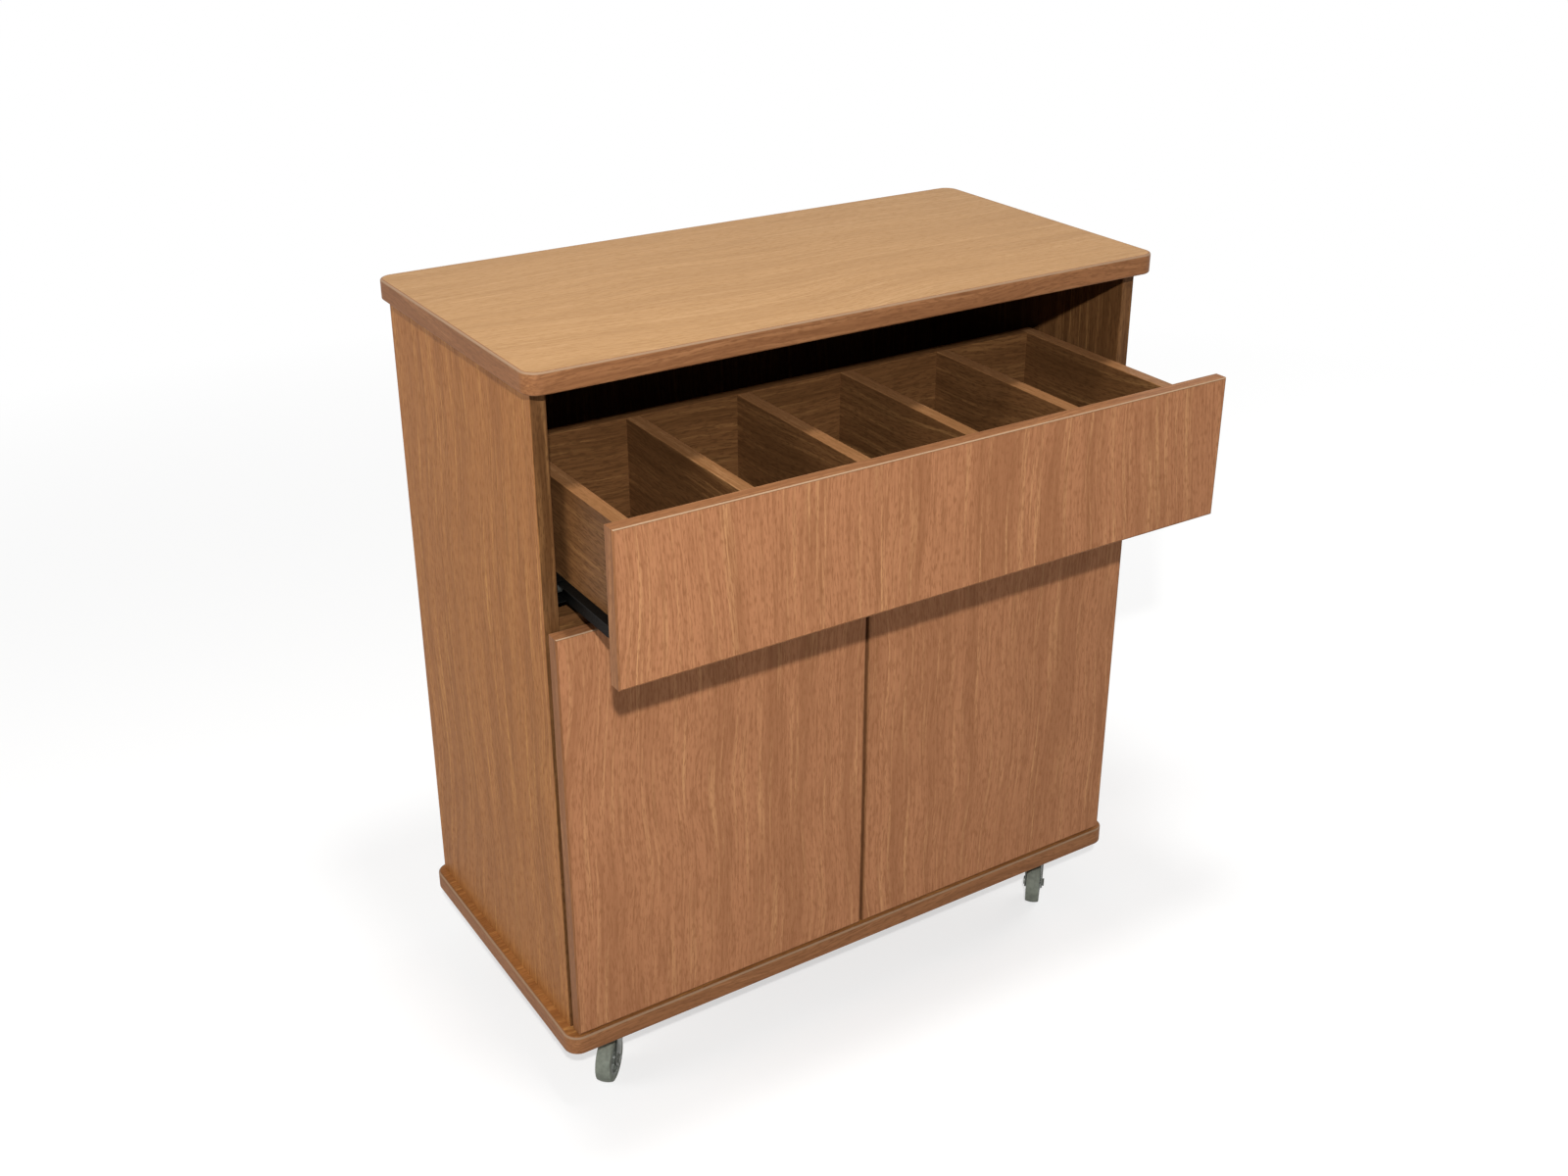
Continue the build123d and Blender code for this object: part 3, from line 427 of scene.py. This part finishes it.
def edit_faces(piece, wanted):
    """Enters edit mode with the faces selected whose centre and normal pass a test."""
    bpy.ops.object.mode_set(mode="OBJECT")
    mesh = piece.data
    for item in (*mesh.vertices, *mesh.edges):
        item.select = False
    for face in mesh.polygons:
        face.select = wanted(face.center, face.normal)
    bpy.ops.object.mode_set(mode="EDIT")
    bpy.ops.mesh.select_mode(type="FACE")


def soften(piece, width, segments, angle=40.0):
    """Rounds the sharp edges of a piece and shades it smooth between them."""
    select_nothing()
    piece.select_set(True)
    bpy.context.view_layer.objects.active = piece
    bevel = piece.modifiers.new("soft_edges", "BEVEL")
    bevel.width = width
    bevel.segments = segments
    bevel.limit_method = "ANGLE"
    bevel.angle_limit = math.radians(angle)
    bpy.ops.object.modifier_apply(modifier=bevel.name)
    bpy.ops.object.shade_smooth_by_angle(angle=math.radians(angle))


def united(piece, other):
    """Joins another piece to this one in a single skin."""
    select_nothing()
    piece.select_set(True)
    bpy.context.view_layer.objects.active = piece
    union = piece.modifiers.new("union", "BOOLEAN")
    union.operation = "UNION"
    union.object = other
    bpy.ops.object.modifier_apply(modifier=union.name)
    bpy.data.objects.remove(other, do_unlink=True)


def keep_place(piece):
    """Moves a piece's place into its mesh."""
    select_nothing()
    piece.select_set(True)
    bpy.context.view_layer.objects.active = piece
    bpy.ops.object.transform_apply(location=True, rotation=True, scale=True)


def set_at_corners(pattern, name, place_joint, body, node):
    """Copies a modelled piece to the four casters, turned to their heading, and drops the pattern."""
    for corner in CORNERS:
        copy = pattern.copy()
        copy.data = pattern.data.copy()
        copy.name = f"{corner}_{name}"
        copy.data.name = copy.name
        bpy.context.scene.collection.objects.link(copy)
        across, along, _ = JOINTS[f"wheel_{corner}_turn"]["axis"]
        x, y, z = JOINTS[place_joint.format(corner)]["pos_m"]
        copy.rotation_euler = (0, 0, math.atan2(along, across))
        copy.location = (x, y, z if place_joint.startswith("wheel") else 0)
        keep_place(copy)
        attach(copy, body.format(corner))
        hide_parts(node.format(corner))
    bpy.data.objects.remove(pattern, do_unlink=True)


UP, FRONT, LEFT, RIGHT = (0, 0, 1), (0, -1, 0), (-1, 0, 0), (1, 0, 0)
DIVIDERS = tuple(f"drawer_divider_{number}" for number in (1, 2, 3, 4))
# Name, axes along and across the grain, family of tones, seed, strength of the print, faces in another
# family's tones, and nodes. The inner family is painted shade: the inside boards, the faces of the sides and
# back that look into the cabinet, and the sides' front edges under the top's overhang take its darker tones,
# while the upward edges of the drawer boards take the lighter edge tones.
BOARDS = (
    ("top", "XY", "top", 0.0, 0.85, (), ("top_panel",)),
    ("base", "XY", "side", 0.31, 1.0, (), ("base_panel",)),
    ("left side", "ZY", "side", 0.7, 1.0, (("inner", RIGHT), ("inner", FRONT)), ("left_side_panel",)),
    ("right side", "ZY", "side", 1.9, 1.0, (("inner", LEFT), ("inner", FRONT)), ("right_side_panel",)),
    ("left door", "ZX", "front", 2.6, 1.0, (), ("left_door",)),
    ("right door", "ZX", "front", 3.2, 1.0, (), ("right_door",)),
    ("drawer front", "ZX", "front", 4.5, 1.15, (), ("drawer_front",)),
    ("back", "ZX", "side", 5.1, 1.0, (("inner", FRONT),), ("back_panel",)),
    ("deck and shelf", "XY", "inner", 5.9, 1.0, (), ("deck_panel", "shelf")),
    ("dividers", "YZ", "inner", 6.4, 1.0, (("edge", UP),), DIVIDERS),
    ("drawer left side", "YZ", "inner", 6.9, 1.0, (("edge", UP),), ("drawer_left_side",)),
    ("drawer right side", "YZ", "inner", 7.2, 1.0, (("edge", UP),), ("drawer_right_side",)),
    ("drawer bottom", "YX", "inner", 8.3, 1.0, (), ("drawer_bottom",)),
    ("drawer back", "XZ", "inner", 7.7, 1.0, (), ("drawer_back",)),
)


class STATION_OT_boards(bpy.types.Operator):
    """Dresses the melamine boards, each with its grain the way it is cut"""

    bl_idname = "station.boards"
    bl_label = "Boards"

    def execute(self, context):
        for name, axes, family, seed, strength, faces, nodes in BOARDS:
            dress(melamine(name, axes, family, seed, strength, faces), *nodes)
        return {"FINISHED"}


class STATION_OT_edging(bpy.types.Operator):
    """Dresses the edge bands of the slabs, the doors and the drawer front"""

    bl_idname = "station.edging"
    bl_label = "Edge bands"

    def execute(self, context):
        colours = context.scene.station_colours
        slabs = edging("slabs", colours.slab_arris_highlight, upright=False, seed=0.4)
        dress(slabs, "top_edge_band", "base_edge_band")
        fronts = edging("fronts", colours.front_arris_highlight, upright=True, seed=1.1)
        dress(fronts, "left_door_edge_band", "right_door_edge_band", "drawer_front_edge_band")
        return {"FINISHED"}


class STATION_OT_fittings(bpy.types.Operator):
    """Dresses the runners, rollers, hinges, screws, pins and dowels"""

    bl_idname = "station.fittings"
    bl_label = "Fittings"

    def execute(self, context):
        colours = context.scene.station_colours
        # Epoxy-coated pressed steel: near black, a soft shine broken by the powder's orange peel
        coated = mottled(
            "Epoxy-coated steel", colours.runner, shade=0.75, patch=2.5 * MM, shine=(0.4, 0.52),
            relief=0.05 * MM, sheen=0.06,
        )
        # Turned black nylon: a dark grey, waxy and faintly cloudy
        nylon = mottled(
            "Black nylon", colours.roller, shade=0.85, patch=6 * MM, shine=(0.4, 0.5), relief=0.02 * MM,
            sheen=0.3,
        )
        # Nickel-plated steel: warm bright metal with faint handling marks
        nickel = mottled(
            "Nickel-plated steel", colours.nickel, shade=0.85, patch=9 * MM, shine=(0.22, 0.34),
            relief=0.01 * MM, metallic=1.0,
        )
        # Zinc-plated steel: cool grey metal, clouded by passivation
        zinc = mottled(
            "Zinc-plated steel", colours.zinc, shade=0.8, patch=5 * MM, shine=(0.3, 0.45),
            relief=0.01 * MM, metallic=1.0,
        )
        # Planed beech: pale tan with short darker flecks
        beech = mottled(
            "Planed beech", colours.beech, shade=0.82, patch=2 * MM, shine=(0.6, 0.7), relief=0.04 * MM
        )
        for side in SIDES:
            dress(coated, f"{side}_cabinet_runner", f"{side}_drawer_runner")
            dress(nylon, f"{side}_front_roller", f"{side}_rear_roller")
            dress(nickel, f"{side}_hinge_cups", f"{side}_hinge_pins")
        dress(nickel, "hinge_arms")
        dress(zinc, "cabinet_screws", "caster_screws", "drawer_screws", "shelf_pins")
        dress(beech, "carcass_dowels", "drawer_dowels")
        return {"FINISHED"}


class STATION_OT_forks(bpy.types.Operator):
    """Models a pressed caster fork with rounded edges, sets it at the four corners and dresses its metal"""

    bl_idname = "station.forks"
    bl_label = "Caster forks"

    def execute(self, context):
        sizes = context.scene.station_caster
        # Zinc-plated pressings: grey metal, duller than the screws and clouded by wear, with the colour
        # painted darker still as painted shade and painted dark reflection
        zinc = mottled(
            "Zinc-plated pressing", context.scene.station_colours.pressing, shade=0.72, patch=9 * MM,
            shine=(0.36, 0.52), relief=0.03 * MM, metallic=1.0,
        )
        dress(zinc, "caster_plates", *(f"{corner}_axle" for corner in CORNERS))
        crown = fork_crown(sizes)
        for side in (-1, 1):
            united(crown, fork_leg(sizes, side))
        soften(crown, width=0.6 * MM, segments=2)
        crown.data.materials.append(zinc)
        set_at_corners(crown, "fork_pressing", "swivel_{}", "{}_fork", "{}_fork")
        return {"FINISHED"}


def fork_leg(sizes, side):
    """One leg: a round end at the axle and a shoulder at the crown, drawn together in one hull."""
    x = side * (sizes.fork_gap + sizes.fork_steel) / 2
    select_nothing()
    bpy.ops.mesh.primitive_cylinder_add(
        vertices=LEG_STEPS, radius=sizes.leg_end, depth=sizes.fork_steel,
        location=(x, -sizes.trail, sizes.axle_level), rotation=(0, math.pi / 2, 0),
    )
    leg = bpy.context.active_object
    keep_place(leg)
    bpy.ops.object.mode_set(mode="EDIT")
    bpy.ops.mesh.primitive_cube_add(
        size=1, location=(x, 0, sizes.crown_low + sizes.crown_steel / 2),
        scale=(sizes.fork_steel, 2 * sizes.leg_shoulder, sizes.crown_steel / 2),
    )
    bpy.ops.mesh.select_all(action="SELECT")
    bpy.ops.mesh.convex_hull()
    bpy.ops.object.mode_set(mode="OBJECT")
    return leg


def fork_crown(sizes):
    """The crown: a disc whose rim stands up as a skirt round the raceway."""
    height = sizes.crown_steel + sizes.skirt_height
    select_nothing()
    bpy.ops.mesh.primitive_cylinder_add(
        vertices=CROWN_STEPS, radius=sizes.crown_radius, depth=height,
        location=(0, 0, sizes.crown_low + height / 2),
    )
    crown = bpy.context.active_object
    keep_place(crown)
    edit_faces(crown, lambda centre, normal: normal.z > STRAIGHT_ON)
    bpy.ops.mesh.inset(thickness=sizes.skirt)
    bpy.ops.mesh.extrude_region_move(TRANSFORM_OT_translate={"value": (0, 0, -sizes.skirt_height)})
    bpy.ops.object.mode_set(mode="OBJECT")
    return crown


class STATION_OT_hubs(bpy.types.Operator):
    """Models a moulded wheel hub with ribs, sets it at the four corners and dresses its plastic"""

    bl_idname = "station.hubs"
    bl_label = "Caster hubs"

    def execute(self, context):
        sizes = context.scene.station_caster
        # Moulded polypropylene: mid grey, low sheen, with the faint grain of the mould
        plastic = mottled(
            "Moulded polypropylene", context.scene.station_colours.hub, shade=0.86, patch=3 * MM,
            shine=(0.45, 0.58), relief=0.05 * MM,
        )
        hub = hub_body(sizes)
        for side in (-1, 1):
            for number in range(RIB_COUNT):
                united(hub, hub_rib(sizes, side, 2 * math.pi * number / RIB_COUNT))
        soften(hub, width=0.4 * MM, segments=2)
        hub.data.materials.append(plastic)
        set_at_corners(hub, "hub_moulding", "wheel_{}_turn", "{}_wheel", "{}_wheel")
        return {"FINISHED"}


def hub_body(sizes):
    """Rim, recessed web and boss, with the axle hole through it; the axle lies along X."""
    select_nothing()
    bpy.ops.mesh.primitive_cylinder_add(
        vertices=HUB_STEPS, radius=sizes.hub_radius, depth=sizes.tyre_width, rotation=(0, math.pi / 2, 0)
    )
    hub = bpy.context.active_object
    keep_place(hub)
    boss_rise = sizes.hub_recess + (sizes.boss_length - sizes.tyre_width) / 2
    for side in (-1, 1):
        edit_faces(hub, lambda centre, normal: normal.x * side > STRAIGHT_ON)
        bpy.ops.mesh.inset(thickness=sizes.hub_rim)
        sink = (-side * sizes.hub_recess, 0, 0)
        bpy.ops.mesh.extrude_region_move(TRANSFORM_OT_translate={"value": sink})
        bpy.ops.mesh.inset(thickness=sizes.hub_radius - sizes.hub_rim - sizes.boss_radius)
        rise = (side * boss_rise, 0, 0)
        bpy.ops.mesh.extrude_region_move(TRANSFORM_OT_translate={"value": rise})
        bpy.ops.mesh.inset(thickness=sizes.boss_radius - sizes.axle_bore)
    ends = sizes.boss_length / 2 - NEAR
    edit_faces(hub, lambda centre, normal: abs(centre.x) > ends and centre.yz.length < NEAR)
    bpy.ops.mesh.bridge_edge_loops()
    bpy.ops.object.mode_set(mode="OBJECT")
    return hub


def hub_rib(sizes, side, angle):
    """A radial rib on one face of the web, from the boss to the rim."""
    inner, outer = sizes.boss_radius - RIB_BITE, sizes.hub_radius - sizes.hub_rim + RIB_BITE
    middle = (inner + outer) / 2
    web = sizes.tyre_width / 2 - sizes.hub_recess
    height = sizes.rib_height + RIB_BITE
    x = side * (web - RIB_BITE + height / 2)
    select_nothing()
    bpy.ops.mesh.primitive_cube_add(
        size=1, location=(x, -math.sin(angle) * middle, math.cos(angle) * middle),
        rotation=(angle, 0, 0), scale=(height, sizes.rib_thickness, outer - inner),
    )
    rib = bpy.context.active_object
    keep_place(rib)
    return rib


class STATION_OT_tyres(bpy.types.Operator):
    """Models a crowned tyre, sets it at the four corners and dresses its rubber"""

    bl_idname = "station.tyres"
    bl_label = "Caster tyres"

    def execute(self, context):
        sizes = context.scene.station_caster
        # Grey rubber: dull and slightly green, dusty where it rolls
        rubber = mottled(
            "Grey rubber", context.scene.station_colours.tyre, shade=0.78, patch=7 * MM, shine=(0.7, 0.82),
            relief=0.08 * MM,
        )
        tyre = tyre_ring(sizes)
        soften(tyre, width=0.8 * MM, segments=3)
        tyre.data.materials.append(rubber)
        set_at_corners(tyre, "tyre_tread", "wheel_{}_turn", "{}_wheel", "{}_tyre")
        return {"FINISHED"}


def tyre_ring(sizes):
    """A round section cut flat at the sidewalls and at the hub, then spun about the axle."""
    middle = sizes.wheel_radius - sizes.tyre_crown
    half = sizes.tyre_width / 2
    select_nothing()
    bpy.ops.mesh.primitive_circle_add(
        vertices=TYRE_SECTION_STEPS, radius=sizes.tyre_crown, fill_type="NGON", location=(0, 0, middle),
        rotation=(math.pi / 2, 0, 0),
    )
    tyre = bpy.context.active_object
    keep_place(tyre)
    bpy.ops.object.mode_set(mode="EDIT")
    cuts = (
        ((half, 0, 0), (1, 0, 0)),
        ((-half, 0, 0), (-1, 0, 0)),
        ((0, 0, sizes.hub_radius), (0, 0, -1)),
    )
    for place, outward in cuts:
        bpy.ops.mesh.select_all(action="SELECT")
        bpy.ops.mesh.bisect(plane_co=place, plane_no=outward, clear_outer=True, clear_inner=False)
    bpy.ops.mesh.select_all(action="SELECT")
    bpy.ops.mesh.delete(type="ONLY_FACE")
    bpy.ops.mesh.select_all(action="SELECT")
    bpy.ops.mesh.spin(steps=TYRE_STEPS, angle=2 * math.pi, center=(0, 0, 0), axis=(1, 0, 0))
    bpy.ops.mesh.select_all(action="SELECT")
    bpy.ops.mesh.remove_doubles(threshold=WELDED)
    bpy.ops.mesh.normals_make_consistent(inside=False)
    bpy.ops.object.mode_set(mode="OBJECT")
    return tyre


# Stage

FLOOR_SIZE = 40.0
# Distances between which the floor fades to white, and how white it is where that starts
FLOOR_NEAR, FLOOR_FAR = 1.0, 3.0
FLOOR_LIFT = 0.6
PAPER_ROUGHNESS = 0.9
WHITE = (1, 1, 1, 1)
LAMPS = {
    "key": {"place": (-1.29, -2.08, 2.18), "size": 0.08, "power": 69.0, "mirrored": True},
    "left": {"place": (-3.0, 0.4, 1.3), "size": 1.6, "power": 36.0, "mirrored": False},
    "front": {"place": (-0.5, -3.0, 0.45), "size": 2.0, "power": 11.0, "mirrored": False},
    "right": {"place": (3.0, 0.4, 1.3), "size": 1.6, "power": 38.0, "mirrored": False},
    "overhead": {"place": (-0.2, -0.4, 3.0), "size": 0.4, "power": 35.0, "mirrored": False},
    "back": {"place": (0.4, 3.2, 2.0), "size": 2.4, "power": 20.0, "mirrored": False},
}
LAMP_TARGET = Vector((0.0, 0.0, 0.5))


class STATION_OT_stage(bpy.types.Operator):
    """Adds the pale floor, the soft lamps and the camera"""

    bl_idname = "station.stage"
    bl_label = "Stage"

    def execute(self, context):
        add_floor(context)
        add_lamps(context)
        add_camera(context)
        context.scene.view_settings.view_transform = "Standard"
        return {"FINISHED"}


def seen_directly(tree):
    """1 for what the camera sees, straight or mirrored, and 0 for light on its way to a surface."""
    rays = add(tree, "ShaderNodeLightPath", {}).node.outputs
    seen = add(
        tree, "ShaderNodeMath", {0: rays["Is Camera Ray"], 1: rays["Is Glossy Ray"]}, operation="MAXIMUM"
    )
    return add(tree, "ShaderNodeMath", {0: seen, 1: rays["Is Transmission Ray"]}, operation="MAXIMUM")


def add_floor(context):
    """A floor that keeps the shadow near the object and fades to plain white far off."""
    select_nothing()
    bpy.ops.mesh.primitive_plane_add(size=FLOOR_SIZE)
    floor = context.active_object
    floor.name = "studio_floor"
    # Matt white paper: even and dull, so that only the soft shadow shows, with little light thrown back up
    material, tree, shader, place = new_material("Matt white paper")
    stage = context.scene.station_stage
    by_eye = add(tree, "ShaderNodeLightPath", {}, "Is Camera Ray")
    paper = add(
        tree, "ShaderNodeMix",
        {MIX_FACTOR: by_eye, MIX_FIRST: opaque(stage.bounce), MIX_SECOND: opaque(stage.floor)},
        MIX_RESULT, data_type="RGBA",
    )
    feed(shader, {"Base Color": paper, "Roughness": PAPER_ROUGHNESS})
    distance = add(tree, "ShaderNodeVectorMath", {0: place}, "Value", operation="LENGTH")
    far = add(
        tree, "ShaderNodeMapRange",
        {"Value": distance, "From Min": FLOOR_NEAR, "From Max": FLOOR_FAR, "To Min": FLOOR_LIFT},
    )
    share = add(tree, "ShaderNodeMath", {0: far, 1: seen_directly(tree)}, operation="MULTIPLY")
    white = add(tree, "ShaderNodeEmission", {"Color": WHITE, "Strength": 1.0})
    surface = add(tree, "ShaderNodeMixShader", {0: share, 1: shader.outputs[0], 2: white})
    feed(tree.nodes["Material Output"], {"Surface": surface})
    floor.data.materials.append(material)


def add_lamps(context):
    """A key lamp above the camera, and weaker ones that lift the front, the sides, the top and the back."""
    for name, lamp in LAMPS.items():
        data = bpy.data.lights.new(f"lamp_{name}", "AREA")
        data.shape = "DISK"
        data.size = lamp["size"]
        data.energy = lamp["power"]
        light = bpy.data.objects.new(f"lamp_{name}", data)
        light.location = lamp["place"]
        light.visible_glossy = lamp["mirrored"]
        aim = LAMP_TARGET - light.location
        light.rotation_euler = aim.to_track_quat("-Z", "Y").to_euler()
        context.scene.collection.objects.link(light)
    world = bpy.data.worlds.new("studio_room")
    world.use_nodes = True
    context.scene.world = world
    tree = world.node_tree
    level = add(
        tree, "ShaderNodeMapRange",
        {"Value": seen_directly(tree), "To Min": context.scene.station_stage.world_level, "To Max": 1.0},
    )
    feed(tree.nodes["Background"], {"Color": WHITE, "Strength": level})


def add_camera(context):
    """A camera at the photograph's viewing angle."""
    stage = context.scene.station_stage
    data = bpy.data.cameras.new("camera")
    data.lens = stage.lens
    data.shift_y = stage.camera_shift
    camera = bpy.data.objects.new("camera", data)
    camera.location = stage.camera_place
    camera.rotation_euler = (math.pi / 2 - stage.camera_tilt, 0, -stage.camera_heading)
    context.scene.collection.objects.link(camera)
    context.scene.camera = camera


class STATION_PT_panel(bpy.types.Panel):
    """Lists the dressing steps in the sidebar"""

    bl_label = "Waiter station"
    bl_idname = "STATION_PT_panel"
    bl_space_type = "VIEW_3D"
    bl_region_type = "UI"
    bl_category = "Station"

    def draw(self, context):
        for operator in OPERATORS:
            self.layout.operator(operator.bl_idname)


SETTINGS = {
    "station_colours": StationColours,
    "station_grain": StationGrain,
    "station_caster": StationCaster,
    "station_stage": StationStage,
}
OPERATORS = (
    STATION_OT_boards, STATION_OT_edging, STATION_OT_fittings, STATION_OT_forks, STATION_OT_hubs,
    STATION_OT_tyres, STATION_OT_stage,
)
CLASSES = (*SETTINGS.values(), *OPERATORS, STATION_PT_panel)


def register():
    for cls in CLASSES:
        bpy.utils.register_class(cls)
    for name, group in SETTINGS.items():
        setattr(bpy.types.Scene, name, bpy.props.PointerProperty(type=group))


def unregister():
    for name in SETTINGS:
        delattr(bpy.types.Scene, name)
    for cls in reversed(CLASSES):
        bpy.utils.unregister_class(cls)


def main():
    register()
    bpy.ops.station.boards()
    bpy.ops.station.edging()
    bpy.ops.station.fittings()
    bpy.ops.station.forks()
    bpy.ops.station.hubs()
    bpy.ops.station.tyres()
    bpy.ops.station.stage()


if __name__ == "__main__":
    main()
